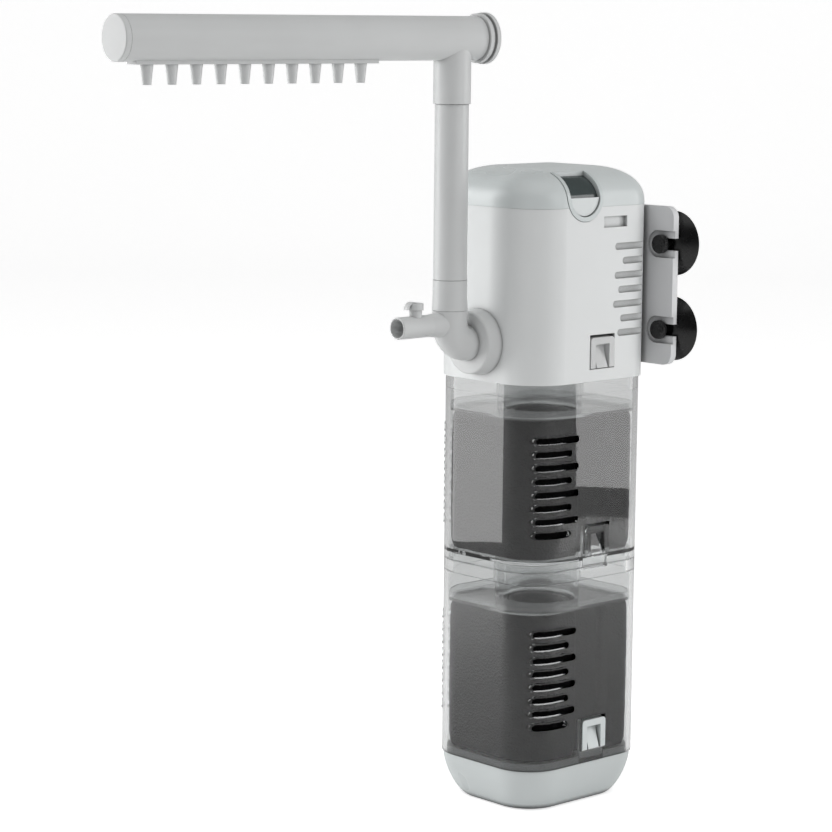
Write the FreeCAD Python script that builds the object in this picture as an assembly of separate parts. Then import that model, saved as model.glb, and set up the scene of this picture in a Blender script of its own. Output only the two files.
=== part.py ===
import FreeCAD, Part
import math
import os

# Internal aquarium power filter: a magnetic pump head over two clear sponge cups,
# with a riser and spray bar at the front and suction cups at the back.
# Millimetres, +Z up. -Y is the outlet side, +Y the glass side, +X the intake side.
# The origin is the middle of the base cap's flat underside.

# ---- plan of the body ----------------------------------------------------------------
cup_half_x = 33.0            # half width of the clear cups
cup_half_y = 37.0            # half depth of the clear cups
front_corner = 18.0          # outline corner radius on the outlet side
back_corner = 13.5           # outline corner radius on the glass side
head_step = 1.0              # how far the pump head stands out past the cups
base_inset = 0.5             # how far the base cap stands in from the cups
cup_wall = 2.0
head_wall = 2.5
neck_gap = 0.3               # push-fit gap between a neck and the wall around it
seam_gap = 0.2               # gap left at each horizontal seam
neck_wall = 1.8

# ---- heights, stacked from the floor up ----------------------------------------------
base_height = 19.9           # base cap, up to the lower cup
lower_cup_height = 89.2
upper_cup_height = 82.7
housing_height = 76.4
cap_height = 16.8
lower_headspace = 17.9       # lower tray's top to the seam above it
upper_headspace = 14.5
neck_height = 2.9            # how far a neck enters the part above it
head_floor_rise = 4.2        # the pump head's floor stands this far above its skirt
base_seam = base_height
cup_seam = base_seam + lower_cup_height
head_seam = cup_seam + upper_cup_height
cap_seam = head_seam + housing_height
body_top = cap_seam + cap_height
lower_tray_z = cup_seam - lower_headspace
upper_tray_z = head_seam - upper_headspace
head_half_x = cup_half_x + head_step
head_half_y = cup_half_y + head_step

# ---- base cap ------------------------------------------------------------------------
base_round_inset = 8.0       # how far the rounding draws the base in at its underside
base_round_rise = 18.9       # height of that rounding
base_round_power = 1.5       # 2 would be an ellipse; less is closer to a straight slope
base_corner_share = 0.27     # share of the inset that the plan's corners lose
base_wall = 2.2
base_rib = 1.6
base_rib_spacing = 16.0

# ---- cups, trays, cores and sponges --------------------------------------------------
cup_floor = 1.6
tray_plate = 1.2
tray_rim_height = 2.4
tray_rim = 1.2
duct_radius = 18.3           # duct that joins a tray to the floor above it
duct_wall = 1.6
core_radius = 13.5           # perforated core inside a sponge
core_wall = 1.5
core_slot_height = 2.4
core_slot_pitch = 7.0
core_slot_count = 8
sponge_hole_gap = 0.5
sponge_gap = 0.5             # slack round a sponge
channel_depth = 4.6          # groove down the sponge and tray for the latch tongues

# ---- intake slots --------------------------------------------------------------------
slot_count = 8
slot_pitch = 5.96
slot_height = 3.0
slot_front = 6.0 - cup_half_y    # where the slots begin, round the outlet-side corner
slot_rim = 0.8               # width of the raised outline round a slot
slot_rim_rise = 0.5
upper_slot_drop = 10.0       # first slot's centre below its tray
lower_slot_drop = 9.6

# ---- latches -------------------------------------------------------------------------
latch_y = 4.2                # middle of every latch
slot_long_end = latch_y - 12.7   # the intake slots stop short of the latches
slot_short_end = latch_y - 17.0
latch_width = 14.6
latch_head_height = 13.5
latch_head_rise = 3.8        # bottom of the head above the pivot
latch_blade = 1.5
latch_proud = 0.4            # how far the head stands out of the wall
latch_wedge_width = 6.6
latch_frame = 3.0
latch_round = 1.6
latch_pivot_radius = 0.75
window_gap = 0.4
window_head_room = 1.2
latch_slack = 0.4            # gap between the blade and the wall it lies behind
base_latch_rise = 2.0        # pivot above its seam
mid_latch_rise = 0.6
head_latch_rise = 2.0

# ---- pump head -----------------------------------------------------------------------
crown_inset = 24.5           # the cap's crown draws in this far, to a small flat on top
crown_rise = 16.4            # height of the crown's rounding
crown_power = 2.35
crown_corner_share = 0.66    # share of the inset that the plan's corners lose
crown_corner = 3.0           # least corner radius of the crown's outlines
cap_lip = 3.0                # how far the cap's lip enters the housing
vent_drop = 0.233 * housing_height   # middle of the first groove below the cap
vent_pitch = 0.0832 * housing_height
vent_height = 3.0
vent_depth = 2.0
vent_back = head_half_y - 7.0
vent_fronts = (11.3, 16.1, 11.2, 13.7, 10.5, 15.2, 13.6)
pocket_front = 4.0
pocket_length = 14.5
pocket_drop = 4.4            # pocket's upper edge below the cap
pocket_height = 4.8
pocket_depth = 1.9

# ---- flow slider ---------------------------------------------------------------------
bezel_y = -7.7               # middle of the tongue-shaped bezel
bezel_half = 11.1
bezel_centre_z = cap_seam + 5.0  # centre of the bezel's round lower end
bezel_rim = 2.0
bezel_proud = 0.25
bezel_depth = 4.6
bezel_reach = 11.0           # how far in from the housing's side the bezel's recess goes
window_depth = 1.5
window_sheet = 1.2
slider_face_depth = 0.5      # slider's face below the housing's surface
slider_thick = 0.8
slider_overlap = 1.2         # how far the slider covers the window at rest
slider_top_z = cap_seam + 4.2
slider_gap = 0.35
part_gap = 0.15              # assembly gap round pieces let into the housing

# ---- suction bracket and cups --------------------------------------------------------
bracket_gap = 0.4            # between the housing's back and the plate
bracket_sheet = 3.4
bracket_half = head_half_x + 9.4
bracket_bottom = head_seam + 4.8
bracket_top = cap_seam - 1.1
bracket_corner = 5.0
cup_x = bracket_half - 7.2   # suction-cup axes, either side
keyhole_floor = 1.2          # depth of the recess that holds a knob
keyhole_half = 6.0
neck_radius = 2.4
neck_slot_gap = 0.3
knob_radius = 4.2
knob_thick = 3.0
knob_round = 0.8
suction_radius = 14.4
suction_spread = suction_radius + 4.7    # each cup's axis above or below their middle
suction_middle = (bracket_bottom + bracket_top) / 2.0 - 0.6
cup_z = (suction_middle + suction_spread, suction_middle - suction_spread)
suction_reach = 10.0         # knob's middle to the sealing rim
hub_radius = 5.0
rail_stem_half = 4.0         # T rail on the housing's back that hangs in the plate's slot
rail_head_half = 7.0
rail_head_depth = 2.2
rail_gap = 0.25
rail_bottom = head_seam + 33.2
rail_top = cap_seam - 10.2

# ---- cord gland ----------------------------------------------------------------------
gland_z = cap_seam + 7.3
gland_radius = 4.6
gland_bore = 2.8
gland_reach = 4.5

# ---- pump ----------------------------------------------------------------------------
outlet_z = head_seam + 17.2
chamber_radius = 20.0
chamber_wall = 2.0
chamber_height = 20.3
chamber_plate = 2.2
well_radius = 12.2           # outside of the rotor well
well_wall = 1.1
well_top = outlet_z + 49.0
socket_radius = 10.2
inlet_radius = 8.5
shaft_radius = 1.5
shaft_gap = 0.06
magnet_radius = 10.4
magnet_bottom = outlet_z + 13.5
magnet_height = 29.0
impeller_radius = 15.0
impeller_disc = 1.6
blade_count = 6
blade_thick = 1.4
blade_height = 8.5
bush_radius = 3.4
bush_height = 3.6
core_leg = 9.0
core_stack = 20.0
core_mid_z = outlet_z + 29.0
core_back = head_half_y - 7.5
core_front = -12.5
coil_build = 3.3
coil_gap = 0.4
pole_inset = 5.0
pole_back = 8.8              # where the pole pieces end and the bare legs begin
boss_radius = 3.2
screw_radius = 1.4
screw_head_radius = 2.6
screw_head_height = 1.8
screw_length = 8.0
screw_ring = 23.8
ear_rise = 5.6               # underside of the chamber's ears above the pump floor
ear_thick = 2.4

# ---- outlet elbow --------------------------------------------------------------------
flange_radius = 14.6
flange_thick = 7.1
flange_gap = 0.1
riser_y = -head_half_y - 17.8    # riser axis
pipe_radius = 7.7
pipe_bore = 5.8
spigot_depth = 12.0
spigot_gap = 0.08
ring_groove = 2.2
ring_section = 0.9
bend_radius = 9.6
elbow_top = outlet_z + 15.0
nozzle_z = outlet_z + 9.0
nozzle_tip_y = riser_y - 30.5
nozzle_radius = 4.8
nozzle_bore = 4.1
stub_y = riser_y - 19.9
stub_radius = 2.75
stub_bore = 1.2
stub_top = nozzle_z + 8.6
air_cap_radius = 3.0
air_cap_height = 1.7
air_cap_skirt = 0.4
lever_width = 2.4
lever_thick = 1.0
lever_bow = 2.6

# ---- riser ---------------------------------------------------------------------------
joint_radius = 6.4           # spigots that the riser's pieces turn on
joint_gap = 0.08
joint_length = 5.5
coupler_foot_radius = 7.75
coupler_radius = 7.45
coupler_flare_top = elbow_top + 7.0
coupler_top = elbow_top + 13.2
riser_radius = 7.3
riser_bore = 5.3
riser_length = 75.3          # tube between the coupler and the bar's leg
riser_top = coupler_top + riser_length
tee_joint_length = 9.0

# ---- spray bar -----------------------------------------------------------------------
bar_z = riser_top + 27.8
bar_yaw = -4.5               # the bar is stored swung slightly off the outlet's axis
bar_radius = 9.4
bar_bore = 7.6
bar_front = 165.9
bar_back = 12.6
leg_radius = 8.1
jet_count = 10
jet_first = 48.8
jet_pitch = 11.63
jet_tip_drop = 18.4
jet_root_radius = 2.7
jet_tip_radius = 1.8
jet_bore = 0.9
strip_half = 3.4
strip_drop = 1.0
strip_margin = 7.0
end_disc = 2.5
plug_gap = 0.1
plug_depth = 7.0
plug_wall = 1.5
rear_plug_depth = 6.0
rear_lip_radius = 11.0
rear_lip = 1.9
rear_groove_radius = 9.7
rear_groove = 1.4

UP = FreeCAD.Vector(0, 0, 1)
EAST = FreeCAD.Vector(1, 0, 0)
NORTH = FreeCAD.Vector(0, 1, 0)


def vec(x, y, z):
    return FreeCAD.Vector(x, y, z)


def save(name, shape):
    """Write one node as a STEP file."""
    if len(shape.Solids) == 1:
        shape = shape.removeSplitter()
    shape.exportStep("parts/" + name + ".step")


def cylinder(radius, height, base, axis=UP):
    return Part.makeCylinder(radius, height, base, axis)


def box(low, high):
    size = high - low
    return Part.makeBox(size.x, size.y, size.z, low)


def join(first, *others):
    return first.multiFuse(list(others))


def remove(shape, *tools):
    return shape.cut(Part.makeCompound(list(tools))) if len(tools) > 1 else shape.cut(tools[0])


def mirrored(shape):
    """The same piece on the other side of the body."""
    return shape.mirror(vec(0, 0, 0), EAST)


def outline(grow, z, corner_share=1.0, least_corner=0.5):
    """The body's plan at height z, grown or shrunk from the cups' outside."""
    x = cup_half_x + grow
    y = cup_half_y + grow
    front = max(front_corner + grow * corner_share, least_corner)
    back = max(back_corner + grow * corner_share, least_corner)
    corners = ((x, y, back, 0), (-x, y, back, 90), (-x, -y, front, 180), (x, -y, front, 270))
    arcs = []
    for corner_x, corner_y, radius, start in corners:
        centre_x = corner_x - math.copysign(radius, corner_x)
        centre_y = corner_y - math.copysign(radius, corner_y)
        points = []
        for turn in (0, 45, 90):
            angle = math.radians(start + turn)
            points.append(vec(centre_x + radius * math.cos(angle), centre_y + radius * math.sin(angle), z))
        arcs.append(points)
    edges = []
    for index, points in enumerate(arcs):
        edges.append(Part.Arc(*points).toShape())
        following = arcs[(index + 1) % len(arcs)]
        edges.append(Part.LineSegment(points[2], following[0]).toShape())
    return Part.Face(Part.Wire(edges))


def prism(grow, low, high):
    """The body's plan extruded between two heights."""
    return outline(grow, low).extrude(vec(0, 0, high - low))


def is_level(edge, z):
    """Whether the whole edge lies at height z."""
    return abs(edge.BoundBox.ZMin - z) < 1e-4 and abs(edge.BoundBox.ZMax - z) < 1e-4


def edges_at(shape, z):
    return [edge for edge in shape.Edges if is_level(edge, z)]


def round_edges(shape):
    """The full circles of a turned piece."""
    return [edge for edge in shape.Edges if len(edge.Vertexes) == 1]


def shoulder(inset, rise, power, steps=8):
    """(inset, rise) pairs along a rounded shoulder, from the upright wall to its end."""
    pairs = []
    for step in range(steps + 1):
        angle = math.pi / 2 * step / steps
        drawn_in = inset * (1.0 - math.cos(angle) ** (2.0 / power))
        risen = rise * math.sin(angle) ** (2.0 / power)
        pairs.append((drawn_in, risen))
    return pairs


def head_body(side_depth, top_depth, low):
    """The pump head's outer shape with its crowned top, from low up, some depth below its surface."""
    start = cap_seam + cap_height - crown_rise
    scale = (crown_rise - top_depth) / crown_rise
    grow = head_step - side_depth
    wires = []
    for drawn_in, risen in shoulder(crown_inset, crown_rise, crown_power):
        section = outline(grow - drawn_in, start + risen * scale, crown_corner_share, crown_corner)
        wires.append(section.OuterWire)
    foot = outline(grow, low, crown_corner_share, crown_corner)
    return join(foot.extrude(vec(0, 0, start - low)), Part.makeLoft(wires, True))


def base_bowl(side_depth, floor_depth, high):
    """The base cap's outer shape, from its underside up to high, some depth inside its surface."""
    grow = -base_inset - side_depth
    rise = base_round_rise - floor_depth
    wires = []
    for drawn_in, risen in shoulder(base_round_inset, rise, base_round_power):
        wires.append(outline(grow - drawn_in, base_round_rise - risen, base_corner_share).OuterWire)
    upper = outline(grow, base_round_rise, base_corner_share).extrude(vec(0, 0, high - base_round_rise))
    return join(upper, Part.makeLoft(wires, True))


def side_slot(y_low, y_high, z_mid, height, x_low, x_high):
    """A bar with round ends, lying along Y, that cuts or stands on the +X side."""
    radius = height / 2.0
    middle = box(vec(x_low, y_low + radius, z_mid - radius), vec(x_high, y_high - radius, z_mid + radius))
    length = x_high - x_low
    ends = [cylinder(radius, length, vec(x_low, y, z_mid), EAST) for y in (y_low + radius, y_high - radius)]
    return join(middle, *ends)


def both_sides(shape):
    return join(shape, mirrored(shape))


# ---- latches -------------------------------------------------------------------------
def latch_window(wall_outside, pivot_z):
    """The opening in the wall that a latch head stands in."""
    low_z = pivot_z + latch_head_rise - window_gap
    high_z = pivot_z + latch_head_rise + latch_head_height + window_head_room
    half = latch_width / 2.0 + window_gap
    window = box(vec(wall_outside - channel_depth, latch_y - half, low_z),
                 vec(wall_outside + 2, latch_y + half, high_z))
    return both_sides(window)


def latch_seat(wall_inside, pivot_z, low_z, high_z):
    """Room for a latch's pivot and blade in the part it stands on or passes."""
    half = latch_width / 2.0 + window_gap
    seat = box(vec(wall_inside - channel_depth, latch_y - half, low_z),
               vec(wall_inside, latch_y + half, high_z))
    return both_sides(seat)


def latch(wall_outside, wall, pivot_z):
    """A springy tongue: pivot bead, blade, and a head with a wedge inside an arch."""
    half = latch_width / 2.0
    blade_out = wall_outside - wall - latch_slack
    blade_in = blade_out - latch_blade
    head_low = pivot_z + latch_head_rise
    head_high = head_low + latch_head_height
    face = wall_outside + latch_proud
    mid_x = (blade_in + blade_out) / 2.0
    bead = cylinder(latch_pivot_radius, latch_width, vec(mid_x, latch_y - half, pivot_z), NORTH)
    blade = box(vec(blade_in, latch_y - half, pivot_z), vec(blade_out, latch_y + half, head_high))
    arch = box(vec(blade_out, latch_y - half, head_low), vec(face, latch_y + half, head_high))
    corners = [edge for edge in edges_at(arch, head_high) if edge.BoundBox.YLength < 1e-4]
    arch = arch.makeFillet(latch_round, corners)
    opening = box(vec(blade_out, latch_y - half + latch_frame, head_low - 1),
                  vec(face + 1, latch_y + half - latch_frame, head_high - latch_frame))
    arch = arch.cut(opening)
    wedge_top = head_high - latch_frame - 1.0
    profile = Part.makePolygon([
        vec(blade_out, latch_y - latch_wedge_width / 2.0, head_low),
        vec(face, latch_y - latch_wedge_width / 2.0, head_low),
        vec(blade_out, latch_y - latch_wedge_width / 2.0, wedge_top),
        vec(blade_out, latch_y - latch_wedge_width / 2.0, head_low)])
    wedge = Part.Face(profile).extrude(vec(0, latch_wedge_width, 0))
    return join(blade, bead, arch, wedge)


def save_latches(name, wall_outside, wall, pivot_z):
    right = latch(wall_outside, wall, pivot_z)
    save(name + "_right", right)
    save(name + "_left", mirrored(right))


# ---- heights of the latch pivots -----------------------------------------------------
base_pivot = base_seam + base_latch_rise
mid_pivot = cup_seam + mid_latch_rise
head_pivot = head_seam + head_latch_rise
head_floor = head_seam + head_floor_rise
pump_floor = head_floor + head_wall


# ---- base cap ------------------------------------------------------------------------
def base_cap():
    """Sediment bowl with a neck that enters the lower cup and ribs that carry its sponge."""
    neck_grow = -cup_wall - neck_gap
    neck_top = base_seam + neck_height
    inner_grow = neck_grow - neck_wall
    shell = base_bowl(0, 0, base_seam - seam_gap)
    neck = prism(neck_grow, base_seam - seam_gap, neck_top)
    hollow = base_bowl(-base_inset - inner_grow, base_wall, neck_top + 1)
    bowl = join(shell, neck).cut(hollow)
    ribs = []
    for row in (-1, 0, 1):
        middle = row * base_rib_spacing
        ribs.append(box(vec(-cup_half_x, middle - base_rib / 2, 1),
                        vec(cup_half_x, middle + base_rib / 2, neck_top - 1)))
    grid = join(*ribs).common(base_bowl(-base_inset - inner_grow - 0.3, base_wall / 2, neck_top))
    seat = latch_seat(cup_half_x - cup_wall, base_pivot, base_pivot - 2.0, neck_top + 1)
    return join(bowl, grid).cut(seat)


# ---- cups ----------------------------------------------------------------------------
def intake_rows(tray_z, drop):
    """Middle height, and rear end, of each intake slot in a cup."""
    rows = []
    for index in range(slot_count):
        end = slot_long_end if index % 2 == 0 else slot_short_end
        rows.append((tray_z - drop - index * slot_pitch, end))
    return rows


def add_intake(cup, tray_z, drop):
    """Cut the intake slots in both sides of a cup, each with a thin raised outline."""
    rims = []
    holes = []
    skin = prism(slot_rim_rise, tray_z - 70, tray_z).cut(prism(-0.2, tray_z - 71, tray_z + 1))
    for z_mid, end in intake_rows(tray_z, drop):
        around = side_slot(slot_front - slot_rim, end + slot_rim, z_mid, slot_height + 2 * slot_rim, 10, 40)
        rims.append(around.common(skin))
        holes.append(side_slot(slot_front, end, z_mid, slot_height, 10, 40))
    cup = join(cup, *[both_sides(rim) for rim in rims])
    return remove(cup, *[both_sides(hole) for hole in holes])


def cup_body(low, high, pivot_below, pivot_above, wall_above, tray_z, drop):
    """A clear cup: wall, neck at the top, latch windows near the foot."""
    wall = prism(0, low, high - seam_gap).cut(prism(-cup_wall, low - 1, high))
    neck_grow = wall_above - neck_gap
    neck_low = high - 6.0
    neck = prism(neck_grow, neck_low, high + neck_height)
    neck = neck.cut(prism(neck_grow - neck_wall, neck_low - 1, high + 5))
    step = prism(-cup_wall + 0.2, neck_low, high - seam_gap - 0.6)
    step = step.cut(prism(neck_grow - 0.2, neck_low - 1, high))
    cup = join(wall, neck, step)
    cup = cup.cut(latch_window(cup_half_x, pivot_below))
    seat = latch_seat(cup_half_x - cup_wall + 0.6, pivot_above, pivot_above - 2.0, high + 5)
    cup = cup.cut(seat)
    return add_intake(cup, tray_z, drop)


def lower_cup():
    return cup_body(base_seam, cup_seam, base_pivot, mid_pivot, -cup_wall, lower_tray_z, lower_slot_drop)


def upper_cup():
    """The upper cup also has a floor, with the water way through its middle."""
    head_inside = head_step - head_wall
    cup = cup_body(cup_seam, head_seam, mid_pivot, head_pivot, head_inside, upper_tray_z, upper_slot_drop)
    floor_low = cup_seam + neck_height + seam_gap
    floor = prism(-cup_wall + 0.2, floor_low, floor_low + cup_floor)
    way = cylinder(duct_radius - duct_wall, cup_floor + 2, vec(0, 0, floor_low - 1))
    passing = latch_seat(cup_half_x - cup_wall, mid_pivot, floor_low - 1, floor_low + cup_floor + 1)
    return join(cup, remove(floor, way, passing)).cut(latch_window(cup_half_x, mid_pivot))


# ---- trays, cores and sponges --------------------------------------------------------
def tray(top, duct_top):
    """Clear plate on a sponge, with a rim and a duct up to the floor above."""
    grow = -cup_wall - neck_gap
    low = top - tray_plate
    plate = prism(grow, low, top)
    rim = prism(grow, top, top + tray_rim_height).cut(prism(grow - tray_rim, top - 1, top + 5))
    duct = cylinder(duct_radius, duct_top - low, vec(0, 0, low))
    bore = cylinder(duct_radius - duct_wall, duct_top - low + 2, vec(0, 0, low - 1))
    return join(plate, rim, duct).cut(bore)


def sponge_core(low, high):
    """Tube that keeps a sponge's middle open, with slots all round."""
    tube = cylinder(core_radius, high - low, vec(0, 0, low))
    bore = cylinder(core_radius - core_wall, high - low + 2, vec(0, 0, low - 1))
    tube = tube.cut(bore)
    first = (low + high) / 2.0 - core_slot_pitch * (core_slot_count - 1) / 2.0
    half = core_radius * 0.55
    reach = core_radius + 2
    rise = core_slot_height / 2.0
    cuts = []
    for row in range(core_slot_count):
        z = first + row * core_slot_pitch
        cuts.append(box(vec(-reach, -half, z - rise), vec(reach, half, z + rise)))
    for row in range(core_slot_count - 1):
        z = first + (row + 0.5) * core_slot_pitch
        cuts.append(box(vec(-half, -reach, z - rise), vec(half, reach, z + rise)))
    return remove(tube, *cuts)


def sponge(low, high):
    """Foam block that fills a cup, with a hole for the core and grooves for the latches."""
    block = prism(-cup_wall - sponge_gap, low, high)
    hole = cylinder(core_radius + sponge_hole_gap, high - low + 2, vec(0, 0, low - 1))
    half = latch_width / 2.0 + 1.5
    inside = cup_half_x - cup_wall
    groove = box(vec(inside - channel_depth - 0.8, latch_y - half, low - 1),
                 vec(inside + 2, latch_y + half, high + 1))
    return remove(block, hole, groove, mirrored(groove))


# ---- motor housing -------------------------------------------------------------------
def tongue(half, x_low, x_high, gap=0.0):
    """The tongue shape of the bezel: straight sides above a round lower end."""
    radius = half + gap
    top = body_top + 6
    straight = box(vec(x_low, bezel_y - radius, bezel_centre_z), vec(x_high, bezel_y + radius, top))
    return join(straight, cylinder(radius, x_high - x_low, vec(x_low, bezel_y, bezel_centre_z), EAST))


def vents():
    """Row of blind grooves, uneven in length, that the fingers grip."""
    slots = []
    floor_x = head_half_x - vent_depth
    for index, front in enumerate(vent_fronts):
        z_mid = cap_seam - vent_drop - index * vent_pitch
        slots.append(side_slot(front, vent_back, z_mid, vent_height, floor_x, head_half_x + 3))
    return slots


def hanging_rail():
    """T rail on the housing's back; its head lies behind the bracket plate."""
    back = head_half_y + bracket_gap + bracket_sheet + rail_gap
    stem = box(vec(-rail_stem_half, head_half_y - 1, rail_bottom), vec(rail_stem_half, back + 1, rail_top))
    wide = box(vec(-rail_head_half, back, rail_bottom), vec(rail_head_half, back + rail_head_depth, rail_top))
    return join(stem, wide)


def motor_housing():
    """Shell of the pump head, open at the top, with a raised floor and a rail behind."""
    grow = head_step
    inner = grow - head_wall
    shell = prism(grow, head_seam, cap_seam)
    skirt_room = prism(inner, head_seam - 1, head_floor)
    motor_room = prism(inner, pump_floor, cap_seam + 1)
    shell = remove(shell, skirt_room, motor_room)
    bosses = [cylinder(boss_radius, ear_rise + 0.4, spot) for spot in screw_spots(pump_floor - 0.5)]
    pilots = [cylinder(screw_radius - 0.2, 8.0, spot) for spot in screw_spots(pump_floor - 0.5)]
    inlet = cylinder(inlet_radius + 3, head_wall + 2, vec(0, 0, head_floor - 1))
    outlet = cylinder(pipe_radius + spigot_gap, 12, vec(0, -head_half_y - 4, outlet_z), NORTH)
    passing = latch_seat(head_half_x - head_wall, head_pivot, head_floor - 1, pump_floor + 1)
    pocket_top = cap_seam - pocket_drop
    pocket = box(vec(head_half_x - pocket_depth, pocket_front, pocket_top - pocket_height),
                 vec(head_half_x + 2, pocket_front + pocket_length, pocket_top))
    slots = [both_sides(slot) for slot in vents()]
    shell = join(shell, hanging_rail(), *bosses)
    shell = remove(shell, inlet, outlet, passing, pocket, *slots, *pilots)
    shell = shell.cut(latch_window(head_half_x, head_pivot))
    return shell.cut(tongue(bezel_half, head_half_x - bezel_reach, head_half_x + 9, part_gap))


# ---- cap, bezel, window and slider ---------------------------------------------------
def top_cap():
    """Domed cap with a lip inside the housing and a cut for the bezel."""
    shell = head_body(0, 0, cap_seam)
    lip_depth = head_wall + neck_gap
    lip = prism(head_step - lip_depth, cap_seam - cap_lip, cap_seam)
    hollow = head_body(lip_depth + neck_wall, head_wall, cap_seam - cap_lip - 1)
    shell = join(shell, lip).cut(hollow)
    hole = cylinder(gland_radius + part_gap, 20, vec(0, head_half_y - 14, gland_z), NORTH)
    return remove(shell, tongue(bezel_half, head_half_x - bezel_reach, head_half_x + 9, part_gap), hole)


def bezel_skin(outer, inner):
    """Slice of the head's own shape between two depths below its surface."""
    low = bezel_centre_z - bezel_half - 1
    return head_body(outer, outer, low).cut(head_body(inner, inner, low - 1))


def slider_bezel():
    """Raised rim round the slider's recess, following the cap's shoulder."""
    deep = head_half_x - bezel_reach
    rim = bezel_skin(-bezel_proud, bezel_depth).common(tongue(bezel_half, deep, head_half_x + 3))
    return rim.cut(tongue(bezel_half - bezel_rim, deep - 1, head_half_x + 5))


def flow_window():
    """Dark curved window above and just behind the slider."""
    sheet = bezel_skin(window_depth, window_depth + window_sheet)
    covered = box(vec(0, bezel_y - bezel_half, head_seam),
                  vec(head_half_x, bezel_y + bezel_half, slider_top_z - slider_overlap))
    sheet = sheet.cut(covered)
    return sheet.common(tongue(bezel_half - bezel_rim - 0.05, head_half_x - bezel_reach, head_half_x))


def flow_slider():
    """Plain flat shutter, round at its lower end, that rides up in front of the window."""
    half = bezel_half - bezel_rim - slider_gap
    face = head_half_x - slider_face_depth
    plate = tongue(half, face - slider_thick, face)
    below_top = box(vec(0, bezel_y - half - 1, head_seam), vec(head_half_x, bezel_y + half + 1, slider_top_z))
    return plate.common(below_top)


def cord_gland():
    """Rubber bush in the cap's back for the mains cord."""
    back = head_half_y
    body = cylinder(gland_radius, gland_reach + 4.0, vec(0, back - 4.0, gland_z), NORTH)
    collar = cylinder(gland_radius + 1.3, 1.6, vec(0, back + 0.2, gland_z), NORTH)
    flare = Part.makeCone(gland_radius, gland_radius - 1.0, 4.0, vec(0, back + gland_reach, gland_z), NORTH)
    bore = cylinder(gland_bore, 30, vec(0, back - 10, gland_z), NORTH)
    collar = collar.cut(head_body(-part_gap, -part_gap, cap_seam - cap_height))
    return join(body, collar, flare).cut(bore)


# ---- suction bracket -----------------------------------------------------------------
bracket_front = head_half_y + bracket_gap
bracket_back = bracket_front + bracket_sheet


def suction_bracket():
    """Plate behind the head, with open keyholes for the suction cups and a slot for the rail."""
    plate = box(vec(-bracket_half, bracket_front, bracket_bottom),
                vec(bracket_half, bracket_back, bracket_top))
    uprights = [e for e in plate.Edges if e.BoundBox.YLength > bracket_sheet - 0.1]
    plate = plate.makeFillet(bracket_corner, uprights)
    cuts = [box(vec(-rail_stem_half - rail_gap, bracket_front - 1, rail_bottom),
                vec(rail_stem_half + rail_gap, bracket_back + 1, bracket_top + 1))]
    for z in cup_z:
        recess = side_slot_y(cup_x, z, keyhole_half, bracket_front - 1, bracket_front + keyhole_floor)
        slot = side_slot_y(cup_x, z, neck_radius + neck_slot_gap, bracket_front - 1, bracket_back + 1)
        cuts += [recess, mirrored(recess), slot, mirrored(slot)]
    return remove(plate, *cuts)


def side_slot_y(x, z, half, y_low, y_high):
    """Notch round an axis along Y, open towards the plate's outer edge."""
    end_x = x - (half - neck_radius) * 0.6
    round_end = cylinder(half, y_high - y_low, vec(end_x, y_low, z), NORTH)
    straight = box(vec(end_x, y_low, z - half), vec(bracket_half + 2, y_high, z + half))
    return join(round_end, straight)


def curve_through(*points):
    """Smooth free curve through the points."""
    curve = Part.BSplineCurve()
    curve.interpolate(list(points))
    return curve.toShape()


def suction_cup(x, z):
    """Rubber cup: knob, neck, hub and a thin bell with its rim towards the glass."""
    knob_back = bracket_front + keyhole_floor - 0.3
    knob_front = knob_back - knob_thick
    rim_y = (knob_back + knob_front) / 2.0 + suction_reach
    hub_front = bracket_back + 0.3
    knob = cylinder(knob_radius, knob_thick, vec(x, knob_front, z), NORTH)
    knob = knob.makeFillet(knob_round, round_edges(knob))
    neck = cylinder(neck_radius, hub_front - knob_back + 1.0, vec(x, knob_back - 0.5, z), NORTH)
    start = vec(x, hub_front, z)
    hub_edge = vec(x + hub_radius, hub_front, z)
    mid_out = vec(x + suction_radius * 0.72, hub_front + (rim_y - hub_front) * 0.38, z)
    rim_out = vec(x + suction_radius, rim_y - 0.3, z)
    rim_in = vec(x + suction_radius - 0.3, rim_y, z)
    mid_in = vec(x + suction_radius * 0.62, hub_front + (rim_y - hub_front) * 0.62, z)
    crown = vec(x, hub_front + 1.8, z)
    edges = [
        Part.LineSegment(start, hub_edge).toShape(),
        curve_through(hub_edge, mid_out, rim_out),
        Part.LineSegment(rim_out, rim_in).toShape(),
        curve_through(rim_in, mid_in, crown),
        Part.LineSegment(crown, start).toShape()]
    bell = Part.Face(Part.Wire(edges)).revolve(start, NORTH, 360)
    return join(knob, neck, bell)


# ---- pump ----------------------------------------------------------------------------
chamber_low = pump_floor + 0.1
chamber_top = chamber_low + chamber_height


def screw_spots(z):
    """Places of the four chamber screws, on the diagonals."""
    spots = []
    for turn in (45, 135, 225, 315):
        angle = math.radians(turn)
        spots.append(vec(screw_ring * math.cos(angle), screw_ring * math.sin(angle), z))
    return spots


def chamber_ear(spot):
    """Lug on the chamber's wall that a screw passes through."""
    lug = cylinder(boss_radius + 0.6, ear_thick, spot)
    bridge = box(vec(chamber_radius - 1.5, -boss_radius, spot.z),
                 vec(screw_ring, boss_radius, spot.z + ear_thick))
    bridge.rotate(vec(0, 0, 0), UP, math.degrees(math.atan2(spot.y, spot.x)))
    return join(lug, bridge)


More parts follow.
